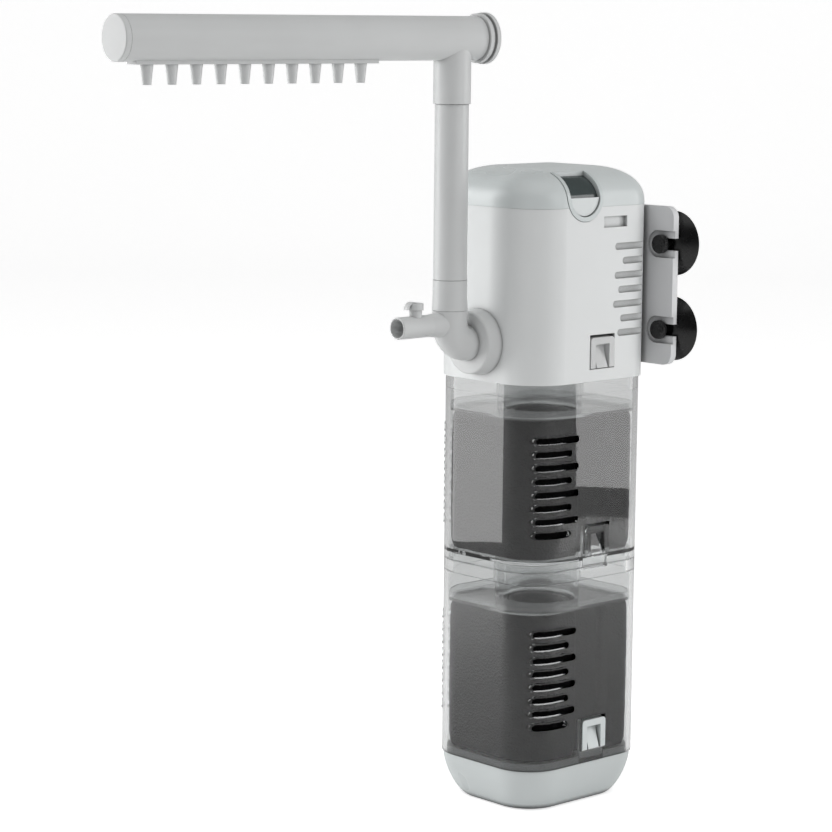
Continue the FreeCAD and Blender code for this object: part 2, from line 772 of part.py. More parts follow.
def pump_chamber():
    """Impeller chamber with its outlet socket, screw ears and the rotor well on top."""
    ear_low = pump_floor + ear_rise
    body = cylinder(chamber_radius, chamber_height, vec(0, 0, chamber_low))
    ears = [chamber_ear(spot) for spot in screw_spots(ear_low)]
    well = cylinder(well_radius, well_top - chamber_top, vec(0, 0, chamber_top))
    front = head_half_y - head_wall - 0.3
    socket = cylinder(socket_radius, front - 5, vec(0, -front, outlet_z), NORTH)
    solid = join(body, well, socket, *ears)
    room = cylinder(chamber_radius - chamber_wall, chamber_height - chamber_plate + 1,
                    vec(0, 0, chamber_low - 1))
    rotor_room = cylinder(well_radius - well_wall, well_top - well_wall - chamber_top + 6,
                          vec(0, 0, chamber_top - 6))
    spigot_room = cylinder(pipe_radius + spigot_gap, spigot_depth + 1.0,
                           vec(0, -front - 0.5, outlet_z), NORTH)
    way = cylinder(pipe_bore, 30, vec(0, -front, outlet_z), NORTH)
    way = way.common(box(vec(-40, -60, 0), vec(40, -5, 400)))
    holes = [cylinder(screw_radius + 0.1, 6, spot) for spot in screw_spots(ear_low - 1)]
    return remove(solid, room, rotor_room, spigot_room, way, *holes)


def impeller_cover():
    """Plate that closes the chamber from below, with the inlet and the lower shaft seat."""
    radius = chamber_radius - chamber_wall - 0.1
    plate = cylinder(radius, 2.0, vec(0, 0, chamber_low))
    hub = cylinder(bush_radius + 1.2, 4.6, vec(0, 0, chamber_low))
    arms = []
    for turn in range(3):
        arm = box(vec(0, -0.9, chamber_low), vec(inlet_radius + 1, 0.9, chamber_low + 2.0))
        arm.rotate(vec(0, 0, 0), UP, 120 * turn + 30)
        arms.append(arm)
    ring = plate.cut(cylinder(inlet_radius, 6, vec(0, 0, chamber_low - 1)))
    bush_seat = cylinder(bush_radius, bush_height + 0.1, vec(0, 0, chamber_low + 1.0))
    return join(ring, hub, *arms).cut(bush_seat)


def shaft_ends():
    """Lowest and highest points of the ceramic shaft."""
    return chamber_low + 1.4, well_top - well_wall - 0.6


def shaft():
    low, high = shaft_ends()
    pin = cylinder(shaft_radius, high - low, vec(0, 0, low))
    return pin.makeChamfer(0.3, round_edges(pin))


def bushing(low):
    ring = cylinder(bush_radius, bush_height, vec(0, 0, low))
    return ring.cut(cylinder(shaft_radius, bush_height + 2, vec(0, 0, low - 1)))


def shaft_bushings():
    """Rubber bushes that hold the shaft's two ends still."""
    upper = well_top - well_wall - bush_height - 0.1
    return Part.makeCompound([bushing(chamber_low + 1.0), bushing(upper)])


def rotor_magnet():
    """Barrel magnet in its sleeve, running on the shaft."""
    barrel = cylinder(magnet_radius, magnet_height, vec(0, 0, magnet_bottom))
    barrel = barrel.makeChamfer(0.8, round_edges(barrel))
    return barrel.cut(cylinder(shaft_radius + shaft_gap, magnet_height + 2, vec(0, 0, magnet_bottom - 1)))


def impeller():
    """Disc with straight blades below it and a hub that keys into the magnet."""
    disc_low = chamber_low + 13.6
    disc = cylinder(impeller_radius, impeller_disc, vec(0, 0, disc_low))
    hub = cylinder(4.2, blade_height, vec(0, 0, disc_low - blade_height))
    neck = cylinder(6.5, magnet_bottom - disc_low - impeller_disc, vec(0, 0, disc_low + impeller_disc))
    blades = []
    for index in range(blade_count):
        blade = box(vec(3.0, -blade_thick / 2, disc_low - blade_height),
                    vec(impeller_radius - 0.5, blade_thick / 2, disc_low))
        blade.rotate(vec(0, 0, 0), UP, index * 360.0 / blade_count)
        blades.append(blade)
    bore = cylinder(shaft_radius + shaft_gap, 60, vec(0, 0, disc_low - blade_height - 1))
    return join(disc, hub, neck, *blades).cut(bore)


def core_leg_middle():
    return well_radius + 0.4 + core_leg / 2.0


def stator_core():
    """Laminated U-shaped core whose poles curve round the rotor well."""
    low = core_mid_z - core_stack / 2.0
    high = low + core_stack
    reach = core_leg_middle() + core_leg / 2.0
    poles = both_sides(box(vec(pole_inset, core_front, low), vec(reach, pole_back, high)))
    legs = both_sides(box(vec(reach - core_leg, core_front, low), vec(reach, core_back, high)))
    yoke = box(vec(-reach, core_back - core_leg, low), vec(reach, core_back, high))
    pole_room = cylinder(well_radius + 0.4, core_stack + 2, vec(0, 0, low - 1))
    return join(poles, legs, yoke).cut(pole_room)


def stator_coils():
    """Two windings, one on each leg of the core."""
    low_y = pole_back + coil_gap
    high_y = core_back - core_leg - coil_gap
    half_x = core_leg / 2.0 + coil_gap
    mid = core_leg_middle()
    half_z = core_stack / 2.0 + coil_gap
    outer = box(vec(mid - half_x - coil_build, low_y, core_mid_z - half_z - coil_build),
                vec(mid + half_x + coil_build, high_y, core_mid_z + half_z + coil_build))
    outer = outer.makeFillet(2.0, [e for e in outer.Edges if e.BoundBox.YLength > high_y - low_y - 0.1])
    inner = box(vec(mid - half_x, low_y - 1, core_mid_z - half_z),
                vec(mid + half_x, high_y + 1, core_mid_z + half_z))
    coil = outer.cut(inner)
    return Part.makeCompound([coil, mirrored(coil)])


def chamber_screws():
    """Self-tapping screws through the chamber's ears into the floor's bosses."""
    screws = []
    head_low = pump_floor + ear_rise + ear_thick
    for spot in screw_spots(0):
        shank = cylinder(screw_radius - 0.2, screw_length, vec(spot.x, spot.y, head_low - screw_length))
        top = cylinder(screw_head_radius, screw_head_height, vec(spot.x, spot.y, head_low))
        drive = box(vec(spot.x - 1.6, spot.y - 0.35, head_low + 1.0),
                    vec(spot.x + 1.6, spot.y + 0.35, head_low + 3))
        screws.append(join(shank, top).cut(drive))
    return Part.makeCompound(screws)


# ---- outlet --------------------------------------------------------------------------
elbow_face = -head_half_y - flange_gap


def bend(radius):
    """Quarter bend between the outlet's axis and the riser's."""
    centre = vec(0, riser_y + bend_radius, outlet_z + bend_radius)
    ring = Part.Wire(Part.makeCircle(radius, vec(0, riser_y, outlet_z + bend_radius), UP))
    return Part.Face(ring).revolve(centre, EAST, 90)


def outlet_elbow():
    """Swivel elbow: spigot, round flange, bend, jet nozzle and air stub in one moulding."""
    inner_end = -head_half_y + spigot_depth
    corner_y = riser_y + bend_radius
    flange = Part.makeCone(flange_radius, flange_radius - 0.9, flange_thick,
                           vec(0, elbow_face, outlet_z), vec(0, -1, 0))
    flange = flange.makeFillet(1.0, edges_on_plane_y(flange, elbow_face - flange_thick))
    pipe = cylinder(pipe_radius, inner_end - corner_y, vec(0, corner_y, outlet_z), NORTH)
    upright = cylinder(pipe_radius, elbow_top - outlet_z - bend_radius,
                       vec(0, riser_y, outlet_z + bend_radius))
    spigot = cylinder(joint_radius, joint_length + 2, vec(0, riser_y, elbow_top - 2))
    nozzle = cylinder(nozzle_radius, riser_y - nozzle_tip_y, vec(0, nozzle_tip_y, nozzle_z), NORTH)
    nozzle = nozzle.makeChamfer(0.35, edges_on_plane_y(nozzle, nozzle_tip_y))
    root = Part.makeCone(nozzle_radius, elbow_top - nozzle_z - 0.2, 9.0,
                         vec(0, riser_y - 13.0, nozzle_z), NORTH)
    stub = cylinder(stub_radius, stub_top - nozzle_z, vec(0, stub_y, nozzle_z))
    solid = join(flange, pipe, upright, bend(pipe_radius), spigot, nozzle, root, stub)
    bore_in = cylinder(pipe_bore, inner_end - corner_y + 1, vec(0, corner_y, outlet_z), NORTH)
    bore_up = cylinder(joint_radius - 1.4, elbow_top + joint_length - outlet_z - bend_radius + 1,
                       vec(0, riser_y, outlet_z + bend_radius - 0.5))
    bore_out = cylinder(nozzle_bore, riser_y - nozzle_tip_y + 1, vec(0, nozzle_tip_y - 1, nozzle_z), NORTH)
    bore_air = cylinder(stub_bore, stub_top - nozzle_z + 1, vec(0, stub_y, nozzle_z))
    groove = cylinder(pipe_radius + 1, ring_groove, vec(0, ring_y(), outlet_z), NORTH)
    groove = groove.cut(cylinder(pipe_radius - 1.7, ring_groove + 2, vec(0, ring_y() - 1, outlet_z), NORTH))
    return remove(solid, bend(pipe_bore), bore_in, bore_up, bore_out, bore_air, groove)


def edges_on_plane_y(shape, y):
    return [e for e in shape.Edges if abs(e.BoundBox.YMin - y) < 1e-4 and abs(e.BoundBox.YMax - y) < 1e-4]


def ring_y():
    """Where the seal's groove starts on the spigot."""
    return -head_half_y + spigot_depth - 4.6


def outlet_seal():
    """O-ring in the spigot's groove."""
    middle = pipe_radius - 0.75
    return Part.makeTorus(middle, ring_section - 0.15, vec(0, ring_y() + ring_groove / 2.0, outlet_z), NORTH)


def air_valve_cap():
    """Turning cap on the air stub, with a thin bowed lever."""
    low = stub_top - 1.2
    top = stub_top + air_cap_height
    body = cylinder(air_cap_radius + air_cap_skirt, top - low, vec(0, stub_y, low))
    body = body.makeFillet(0.5, edges_at(body, top))
    seat = cylinder(stub_radius + 0.08, stub_top - low + 0.1 + 1, vec(0, stub_y, low - 1))
    hole = cylinder(stub_bore * 0.6, 10, vec(0, stub_y, low))
    reach = air_cap_radius + 3.0
    points = [(0.0, top - 0.3), (-reach * 0.6, top + 0.5), (-reach, top - lever_bow)]
    upper = [vec(-lever_width / 2, stub_y + y, z) for y, z in points]
    lower = [vec(-lever_width / 2, stub_y + y + lever_thick * (index == 2), z - lever_thick)
             for index, (y, z) in enumerate(points)]
    lower[2].z = upper[2].z
    edges = [
        Part.Arc(*upper).toShape(),
        Part.LineSegment(upper[2], lower[2]).toShape(),
        Part.Arc(lower[2], lower[1], lower[0]).toShape(),
        Part.LineSegment(lower[0], upper[0]).toShape()]
    lever = Part.Face(Part.Wire(edges)).extrude(vec(lever_width, 0, 0))
    return remove(join(body, lever), seat, hole)


def riser_coupler():
    """Flared sleeve between the elbow and the riser tube."""
    low = elbow_top + 0.1
    flare = Part.makeCone(coupler_foot_radius, coupler_radius, coupler_flare_top - low, vec(0, riser_y, low))
    straight = cylinder(coupler_radius, coupler_top - coupler_flare_top, vec(0, riser_y, coupler_flare_top))
    bore = cylinder(joint_radius + joint_gap, coupler_top - low + 2, vec(0, riser_y, low - 1))
    return join(flare, straight).cut(bore)


def riser_tube():
    """Upright pipe with a spigot at each end."""
    low = coupler_top + 0.1
    tube = cylinder(riser_radius, riser_top - low, vec(0, riser_y, low))
    foot_low = elbow_top + joint_length + 0.6
    foot = cylinder(joint_radius, low - foot_low + 1, vec(0, riser_y, foot_low))
    head = cylinder(joint_radius, tee_joint_length + 1, vec(0, riser_y, riser_top - 1))
    bore = cylinder(riser_bore, 120, vec(0, riser_y, foot_low - 1))
    return join(tube, foot, head).cut(bore)


# ---- spray bar -----------------------------------------------------------------------
def swing(shape):
    """Turn a piece of the bar about the riser to the bar's stored direction."""
    shape.rotate(vec(0, riser_y, 0), UP, bar_yaw)
    return shape


def bar_cylinder(radius, front, back):
    """Cylinder on the bar's axis, between distances ahead of and behind the riser."""
    return cylinder(radius, front + back, vec(0, riser_y - front, bar_z), NORTH)


def jet_places():
    return [riser_y - jet_first - index * jet_pitch for index in range(jet_count)]


def spray_bar():
    """Closed bar with its leg, jet strip and row of tapered jets."""
    tube = bar_cylinder(bar_radius, bar_front, bar_back)
    leg_low = riser_top + 0.1
    leg = cylinder(leg_radius, bar_z - leg_low, vec(0, riser_y, leg_low))
    places = jet_places()
    strip = box(vec(-strip_half, places[-1] - strip_margin, bar_z - bar_radius - strip_drop),
                vec(strip_half, places[0] + strip_margin, bar_z - bar_radius + 1.5))
    tip_z = bar_z - jet_tip_drop
    root_z = bar_z - bar_radius - strip_drop + 0.5
    jets = [Part.makeCone(jet_tip_radius, jet_root_radius, root_z - tip_z, vec(0, y, tip_z)) for y in places]
    bores = [cylinder(jet_bore, jet_tip_drop + 1, vec(0, y, tip_z - 1)) for y in places]
    solid = join(tube, leg, strip, *jets)
    inside = bar_cylinder(bar_bore, bar_front + 1, bar_back + 1)
    socket = cylinder(joint_radius + joint_gap, tee_joint_length + 0.4, vec(0, riser_y, leg_low - 0.1))
    way = cylinder(riser_bore, bar_z - leg_low, vec(0, riser_y, leg_low))
    return swing(remove(solid, inside, socket, way, *bores))


def bar_end_cap():
    """Flat disc with a hollow spigot that closes the bar's far end."""
    disc = bar_cylinder(bar_radius, bar_front + 0.1 + end_disc, -bar_front - 0.1)
    disc = disc.makeFillet(0.5, edges_on_plane_y(disc, riser_y - bar_front - 0.1 - end_disc))
    spigot = bar_cylinder(bar_bore - plug_gap, bar_front + 1, plug_depth - bar_front)
    hollow = bar_cylinder(bar_bore - plug_gap - plug_wall, bar_front - 0.5, plug_depth + 1 - bar_front)
    return swing(join(disc, spigot).cut(hollow))


def bar_rear_plug():
    """Two-lipped plug at the bar's near end; it pulls out to clean the bar."""
    start = bar_back + 0.1
    inner_lip = bar_cylinder(rear_lip_radius - 0.4, -start, start + rear_lip)
    waist = bar_cylinder(rear_groove_radius, -start - rear_lip, start + rear_lip + rear_groove)
    outer_low = start + rear_lip + rear_groove
    outer_lip = bar_cylinder(rear_lip_radius, -outer_low, outer_low + rear_lip)
    spigot = bar_cylinder(bar_bore - plug_gap, rear_plug_depth - start, start + 1)
    return swing(join(inner_lip, waist, outer_lip, spigot))


# ---- write every node ----------------------------------------------------------------
os.makedirs("parts", exist_ok=True)

lower_duct_top = cup_seam + neck_height + seam_gap - 0.2
upper_duct_top = head_floor - 0.2
upper_floor_top = cup_seam + neck_height + seam_gap + cup_floor
sponge_base = base_seam + neck_height + 0.3

save("base_cap", base_cap())
save("lower_cup", lower_cup())
save("upper_cup", upper_cup())
save("lower_tray", tray(lower_tray_z, lower_duct_top))
save("upper_tray", tray(upper_tray_z, upper_duct_top))
save("lower_core", sponge_core(sponge_base, lower_tray_z - tray_plate - 0.3))
save("upper_core", sponge_core(upper_floor_top + 0.3, upper_tray_z - tray_plate - 0.3))
save("lower_sponge", sponge(sponge_base, lower_tray_z - tray_plate - 0.3))
save("upper_sponge", sponge(upper_floor_top + 0.3, upper_tray_z - tray_plate - 0.3))
save_latches("base_latch", cup_half_x, cup_wall, base_pivot)
save_latches("mid_latch", cup_half_x, cup_wall, mid_pivot)
save_latches("head_latch", head_half_x, head_wall, head_pivot)
save("motor_housing", motor_housing())
save("top_cap", top_cap())
save("slider_bezel", slider_bezel())
save("flow_window", flow_window())
save("flow_slider", flow_slider())
save("cord_gland", cord_gland())
save("suction_bracket", suction_bracket())
for height_name, cup_height in zip(("upper", "lower"), cup_z):
    save("suction_cup_" + height_name + "_right", suction_cup(cup_x, cup_height))
    save("suction_cup_" + height_name + "_left", suction_cup(-cup_x, cup_height))
save("pump_chamber", pump_chamber())
save("impeller_cover", impeller_cover())
save("shaft", shaft())
save("shaft_bushings", shaft_bushings())
save("rotor_magnet", rotor_magnet())
save("impeller", impeller())
save("stator_core", stator_core())
save("stator_coils", stator_coils())
save("chamber_screws", chamber_screws())
save("outlet_elbow", outlet_elbow())
save("outlet_seal", outlet_seal())
save("air_valve_cap", air_valve_cap())
save("riser_coupler", riser_coupler())
save("riser_tube", riser_tube())
save("spray_bar", spray_bar())
save("bar_end_cap", bar_end_cap())
save("bar_rear_plug", bar_rear_plug())
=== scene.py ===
import math

import bmesh
import bpy
from mathutils import Matrix, Vector, noise


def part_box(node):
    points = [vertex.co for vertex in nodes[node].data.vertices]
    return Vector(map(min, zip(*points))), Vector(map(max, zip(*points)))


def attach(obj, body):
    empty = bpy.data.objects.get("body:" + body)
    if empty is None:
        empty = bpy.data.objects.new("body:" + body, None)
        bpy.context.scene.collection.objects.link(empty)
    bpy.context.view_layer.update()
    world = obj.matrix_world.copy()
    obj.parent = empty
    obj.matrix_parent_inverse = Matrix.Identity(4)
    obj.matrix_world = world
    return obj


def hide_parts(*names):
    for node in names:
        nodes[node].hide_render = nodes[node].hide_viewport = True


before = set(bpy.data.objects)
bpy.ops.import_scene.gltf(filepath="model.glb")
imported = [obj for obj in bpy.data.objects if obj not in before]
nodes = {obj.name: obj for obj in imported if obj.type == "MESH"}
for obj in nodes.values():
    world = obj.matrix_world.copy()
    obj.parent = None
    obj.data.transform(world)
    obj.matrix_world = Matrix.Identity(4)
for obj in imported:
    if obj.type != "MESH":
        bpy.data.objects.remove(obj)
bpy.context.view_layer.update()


# ---- Motor housing -------------------------------------------------------------------
# The shell of the pump head: one injection moulding in white ABS with a fine satin
# texture from the mould. It carries grip grooves, a shallow pocket and the latch windows.
def add_node(tree, kind, inputs=None, **settings):
    node = tree.nodes.new(kind)
    for setting, value in settings.items():
        setattr(node, setting, value)
    for socket, value in (inputs or {}).items():
        node.inputs[socket].default_value = value
    return node


def new_group(name, numbers, outputs):
    """An empty node group with number inputs and number outputs."""
    group = bpy.data.node_groups.new(name, "ShaderNodeTree")
    for title, value in numbers.items():
        socket = group.interface.new_socket(title, in_out="INPUT", socket_type="NodeSocketFloat")
        socket.default_value = value
    for title in outputs:
        group.interface.new_socket(title, in_out="OUTPUT", socket_type="NodeSocketFloat")
    return group, group.nodes.new("NodeGroupInput"), group.nodes.new("NodeGroupOutput")


def build_mould_group():
    """Fine mould texture, slow drift of tone, and dust that settles on upward faces."""
    group, given, result = new_group(
        "mould texture",
        {"Grain Scale": 2600.0, "Drift Scale": 30.0, "Dust Amount": 0.5},
        ("Grain", "Drift", "Dust"))
    place = add_node(group, "ShaderNodeTexCoord")
    grain = add_node(group, "ShaderNodeTexNoise", {"Detail": 3.0, "Roughness": 0.55})
    drift = add_node(group, "ShaderNodeTexNoise", {"Detail": 2.0, "Roughness": 0.5})
    speckle = add_node(group, "ShaderNodeTexNoise", {"Scale": 700.0, "Detail": 4.0})
    facing = add_node(group, "ShaderNodeNewGeometry")
    split = add_node(group, "ShaderNodeSeparateXYZ")
    upward = add_node(group, "ShaderNodeMapRange", {"From Min": 0.35, "From Max": 1.0})
    sparse = add_node(group, "ShaderNodeMapRange", {"From Min": 0.52, "From Max": 0.72})
    dust = add_node(group, "ShaderNodeMath", operation="MULTIPLY")
    scaled = add_node(group, "ShaderNodeMath", operation="MULTIPLY")
    link = group.links.new
    for texture, title in ((grain, "Grain Scale"), (drift, "Drift Scale")):
        link(given.outputs[title], texture.inputs["Scale"])
    for texture in (grain, drift, speckle):
        link(place.outputs["Object"], texture.inputs["Vector"])
    link(facing.outputs["Normal"], split.inputs["Vector"])
    link(split.outputs["Z"], upward.inputs["Value"])
    link(speckle.outputs["Fac"], sparse.inputs["Value"])
    link(upward.outputs["Result"], dust.inputs[0])
    link(sparse.outputs["Result"], dust.inputs[1])
    link(dust.outputs["Value"], scaled.inputs[0])
    link(given.outputs["Dust Amount"], scaled.inputs[1])
    link(grain.outputs["Fac"], result.inputs["Grain"])
    link(drift.outputs["Fac"], result.inputs["Drift"])
    link(scaled.outputs["Value"], result.inputs["Dust"])
    return group


mould_group = build_mould_group()


def new_material(name):
    """A material with its Principled shader, ready for links."""
    material = bpy.data.materials.new(name)
    material.use_nodes = True
    tree = material.node_tree
    return material, tree, tree.nodes["Principled BSDF"]


def use_group(tree, group, **numbers):
    node = tree.nodes.new("ShaderNodeGroup")
    node.node_tree = group
    for title, value in numbers.items():
        node.inputs[title.replace("_", " ")].default_value = value
    return node


def mix_colours(tree, mask, first, second):
    """Colour that goes from first to second as the mask rises."""
    mix = add_node(tree, "ShaderNodeMix", data_type="RGBA")
    tree.links.new(mask, mix.inputs["Factor"])
    for socket, colour in ((mix.inputs[6], first), (mix.inputs[7], second)):
        if isinstance(colour, tuple):
            socket.default_value = (*colour, 1.0)
        else:
            tree.links.new(colour, socket)
    return mix.outputs[2]


def spread(tree, value, low, high):
    """A mask stretched to run between two numbers."""
    stretch = add_node(tree, "ShaderNodeMapRange",
                       {"From Min": 0.3, "From Max": 0.7, "To Min": low, "To Max": high})
    tree.links.new(value, stretch.inputs["Value"])
    return stretch.outputs["Result"]


def shade(colour, factor):
    return tuple(channel * factor for channel in colour)


dust_colour = (0.55, 0.54, 0.51)
painted_shade_reach = 0.0035        # how near walls have to be for painted shade to darken a groove
# how dark the painted shade in grooves and hollows gets, as a share of the colour
painted_hollow_shade = 0.30


def moulded(name, colour, roughness, grain_depth=0.00002, softness=0.0004, drift=0.04, dust=0.25):
    """Moulded plastic: tone drift, dust, painted shade in grooves and hollows, uneven gloss, mould grain and
    softened edges.
    """
    material, tree, shader = new_material(name)
    texture = use_group(tree, mould_group, Dust_Amount=dust)
    body = mix_colours(tree, texture.outputs["Drift"], shade(colour, 1.0 - drift), shade(colour, 1.0 + drift))
    dusty = mix_colours(tree, texture.outputs["Dust"], body, dust_colour)
    # Painted shade: ambient occlusion darkens the colour in grooves, pockets and seams where walls are near.
    painted_shade_occlusion = add_node(tree, "ShaderNodeAmbientOcclusion", {"Distance": painted_shade_reach}, samples=6)
    painted_shade_mask = add_node(tree, "ShaderNodeMapRange", {"From Min": 0.25, "From Max": 0.80})
    tree.links.new(painted_shade_occlusion.outputs["AO"], painted_shade_mask.inputs["Value"])
    tree.links.new(mix_colours(tree, painted_shade_mask.outputs["Result"], shade(colour, painted_hollow_shade), dusty),
                   shader.inputs["Base Color"])
    tree.links.new(spread(tree, texture.outputs["Drift"], roughness - 0.05, roughness + 0.07),
                   shader.inputs["Roughness"])
    edge = add_node(tree, "ShaderNodeBevel", {"Radius": softness}, samples=4)
    bump = add_node(tree, "ShaderNodeBump", {"Strength": 0.5, "Distance": grain_depth})
    tree.links.new(edge.outputs["Normal"], bump.inputs["Normal"])
    tree.links.new(texture.outputs["Grain"], bump.inputs["Height"])
    tree.links.new(bump.outputs["Normal"], shader.inputs["Normal"])
    return material


def finish_node(name, material):
    """Give a carried-over part its material."""
    part = nodes[name]
    if not part.material_slots:
        part.data.materials.append(material)
    for slot in part.material_slots:
        slot.material = material


housing_white = moulded("housing white", (0.70, 0.715, 0.715), 0.36)
finish_node("motor_housing", housing_white)


# ---- Cap, bezel, window and slider ---------------------------------------------------
# The domed cap is a pale blue-grey moulding. A white bezel is let into its shoulder, with a
# dark glossy window behind the sliding shutter.
cap_pale = moulded("cap pale", (0.60, 0.635, 0.635), 0.30, dust=0.35)
finish_node("top_cap", cap_pale)
finish_node("base_cap", cap_pale)

bezel_white = moulded("bezel white", (0.56, 0.60, 0.60), 0.28, softness=0.0003)
finish_node("slider_bezel", bezel_white)
finish_node("flow_slider", moulded("slider white", (0.66, 0.69, 0.69), 0.32, softness=0.0003))

window_colour = (0.055, 0.068, 0.068)
window_dark = moulded("window dark", window_colour, 0.10, grain_depth=0.000004, drift=0.10, dust=0.02)
finish_node("flow_window", window_dark)


# ---- Bracket and cord gland ----------------------------------------------------------
# The bracket is a flat plate in light grey plastic that hangs behind the head. The gland is a
# black rubber bush pressed into the cap's back.
bracket_grey = moulded("bracket grey", (0.66, 0.665, 0.675), 0.42)
finish_node("suction_bracket", bracket_grey)


def build_rubber_group():
    """Soft uneven bloom on rubber, with fine turning rings left by its mould."""
    group, given, result = new_group("rubber bloom", {"Bloom Scale": 160.0, "Ring Pitch": 900.0},
                                     ("Bloom", "Rings"))
    place = add_node(group, "ShaderNodeTexCoord")
    bloom = add_node(group, "ShaderNodeTexNoise", {"Detail": 5.0, "Roughness": 0.6})
    fine = add_node(group, "ShaderNodeTexNoise", {"Detail": 2.0})
    group.links.new(place.outputs["Object"], bloom.inputs["Vector"])
    group.links.new(place.outputs["Object"], fine.inputs["Vector"])
    group.links.new(given.outputs["Bloom Scale"], bloom.inputs["Scale"])
    group.links.new(given.outputs["Ring Pitch"], fine.inputs["Scale"])
    group.links.new(bloom.outputs["Fac"], result.inputs["Bloom"])
    group.links.new(fine.outputs["Fac"], result.inputs["Rings"])
    return group


rubber_group = build_rubber_group()


def rubber(name, colour, gloss_low, gloss_high):
    material, tree, shader = new_material(name)
    texture = use_group(tree, rubber_group)
    body = mix_colours(tree, texture.outputs["Bloom"], shade(colour, 0.7), shade(colour, 1.6))
    tree.links.new(body, shader.inputs["Base Color"])
    tree.links.new(spread(tree, texture.outputs["Bloom"], gloss_low, gloss_high), shader.inputs["Roughness"])
    bump = add_node(tree, "ShaderNodeBump", {"Strength": 0.4, "Distance": 0.00003})
    tree.links.new(texture.outputs["Rings"], bump.inputs["Height"])
    tree.links.new(bump.outputs["Normal"], shader.inputs["Normal"])
    return material


gland_rubber = rubber("gland rubber", (0.018, 0.018, 0.018), 0.45, 0.65)
finish_node("cord_gland", gland_rubber)


# ---- Suction cups --------------------------------------------------------------------
# Four soft black rubber cups, each with a knob pushed through an open keyhole of the plate.
cup_rubber = rubber("cup rubber", (0.004, 0.004, 0.0042), 0.20, 0.34)
for height in ("upper", "lower"):
    for side in ("right", "left"):
        finish_node(f"suction_cup_{height}_{side}", cup_rubber)


# ---- Outlet elbow, air cap, riser and spray bar --------------------------------------
# Light grey-white pipe mouldings: the elbow swivels in the head, the riser pushes onto it, and
# the bar turns on the riser. Two plugs close the bar's ends.
pipe_white = moulded("pipe white", (0.60, 0.61, 0.61), 0.38, softness=0.0003)
for name in ("outlet_elbow", "air_valve_cap", "riser_coupler", "riser_tube", "spray_bar", "bar_end_cap",
             "bar_rear_plug"):
    finish_node(name, pipe_white)
finish_node("outlet_seal", gland_rubber)


# ---- Clear cups and trays ------------------------------------------------------------
# The cups and the trays inside them are moulded in clear, slightly smoky plastic. They carry fine
# wiping scratches and a faint haze.
def build_scratch_group():
    """Fine wiping scratches that run in two directions, and patches of haze."""
    group, given, result = new_group("wiped plastic", {"Haze Scale": 26.0, "Scratch Scale": 140.0},
                                     ("Haze", "Scratch"))
    place = add_node(group, "ShaderNodeTexCoord")
    haze = add_node(group, "ShaderNodeTexNoise", {"Detail": 4.0, "Roughness": 0.6})
    group.links.new(place.outputs["Object"], haze.inputs["Vector"])
    group.links.new(given.outputs["Haze Scale"], haze.inputs["Scale"])
    directions = []
    for turn in (0.35, -0.8):
        lean = add_node(group, "ShaderNodeMapping",
                        {"Rotation": (turn, turn * 0.5, turn), "Scale": (1.0, 1.0, 14.0)})
        streak = add_node(group, "ShaderNodeTexNoise", {"Detail": 6.0, "Roughness": 0.7})
        thin = add_node(group, "ShaderNodeMapRange", {"From Min": 0.62, "From Max": 0.70})
        group.links.new(place.outputs["Object"], lean.inputs["Vector"])
        group.links.new(lean.outputs["Vector"], streak.inputs["Vector"])
        group.links.new(given.outputs["Scratch Scale"], streak.inputs["Scale"])
        group.links.new(streak.outputs["Fac"], thin.inputs["Value"])
        directions.append(thin.outputs["Result"])
    both = add_node(group, "ShaderNodeMath", operation="MAXIMUM")
    group.links.new(directions[0], both.inputs[0])
    group.links.new(directions[1], both.inputs[1])
    group.links.new(haze.outputs["Fac"], result.inputs["Haze"])
    group.links.new(both.outputs["Value"], result.inputs["Scratch"])
    return group


scratch_group = build_scratch_group()


def clear_plastic(name, tint, gloss, haze, index=1.49):
    """Clear moulded plastic; the haze and scratches only roughen its gloss."""
    material, tree, shader = new_material(name)
    shader.inputs["Base Color"].default_value = (*tint, 1.0)
    shader.inputs["Transmission Weight"].default_value = 1.0
    shader.inputs["IOR"].default_value = index
    texture = use_group(tree, scratch_group)
    worn = add_node(tree, "ShaderNodeMath", {1: 0.12}, operation="MULTIPLY")
    rough = add_node(tree, "ShaderNodeMath", operation="ADD")
    tree.links.new(texture.outputs["Scratch"], worn.inputs[0])
    tree.links.new(spread(tree, texture.outputs["Haze"], gloss, gloss + haze), rough.inputs[0])
    tree.links.new(worn.outputs["Value"], rough.inputs[1])
    tree.links.new(rough.outputs["Value"], shader.inputs["Roughness"])
    bump = add_node(tree, "ShaderNodeBump", {"Strength": 0.08, "Distance": 0.00006})
    tree.links.new(texture.outputs["Haze"], bump.inputs["Height"])
    tree.links.new(bump.outputs["Normal"], shader.inputs["Normal"])
    return material


cup_clear = clear_plastic("cup clear", (0.90, 0.91, 0.91), 0.005, 0.02)
tray_clear = clear_plastic("tray clear", (0.78, 0.79, 0.79), 0.03, 0.10)
latch_clear = clear_plastic("latch clear", (0.86, 0.88, 0.88), 0.08, 0.10)
latch_frosted = clear_plastic("latch frosted", (0.80, 0.81, 0.81), 0.25, 0.15)
latch_frosted.node_tree.nodes["Principled BSDF"].inputs["Transmission Weight"].default_value = 0.35
for level in ("upper", "lower"):
    finish_node(f"{level}_cup", cup_clear)
    finish_node(f"{level}_tray", tray_clear)


# ---- Latches -------------------------------------------------------------------------
# Springy tongues with a wedge inside an arch. The cups' tongues are clear like the cups, and
# the base cap's are pale and opaque like the base.
latch_white = moulded("latch white", (0.66, 0.70, 0.70), 0.30, softness=0.0003)
for side in ("right", "left"):
    finish_node(f"base_latch_{side}", latch_white)
    finish_node(f"mid_latch_{side}", latch_clear)
    finish_node(f"head_latch_{side}", latch_frosted)


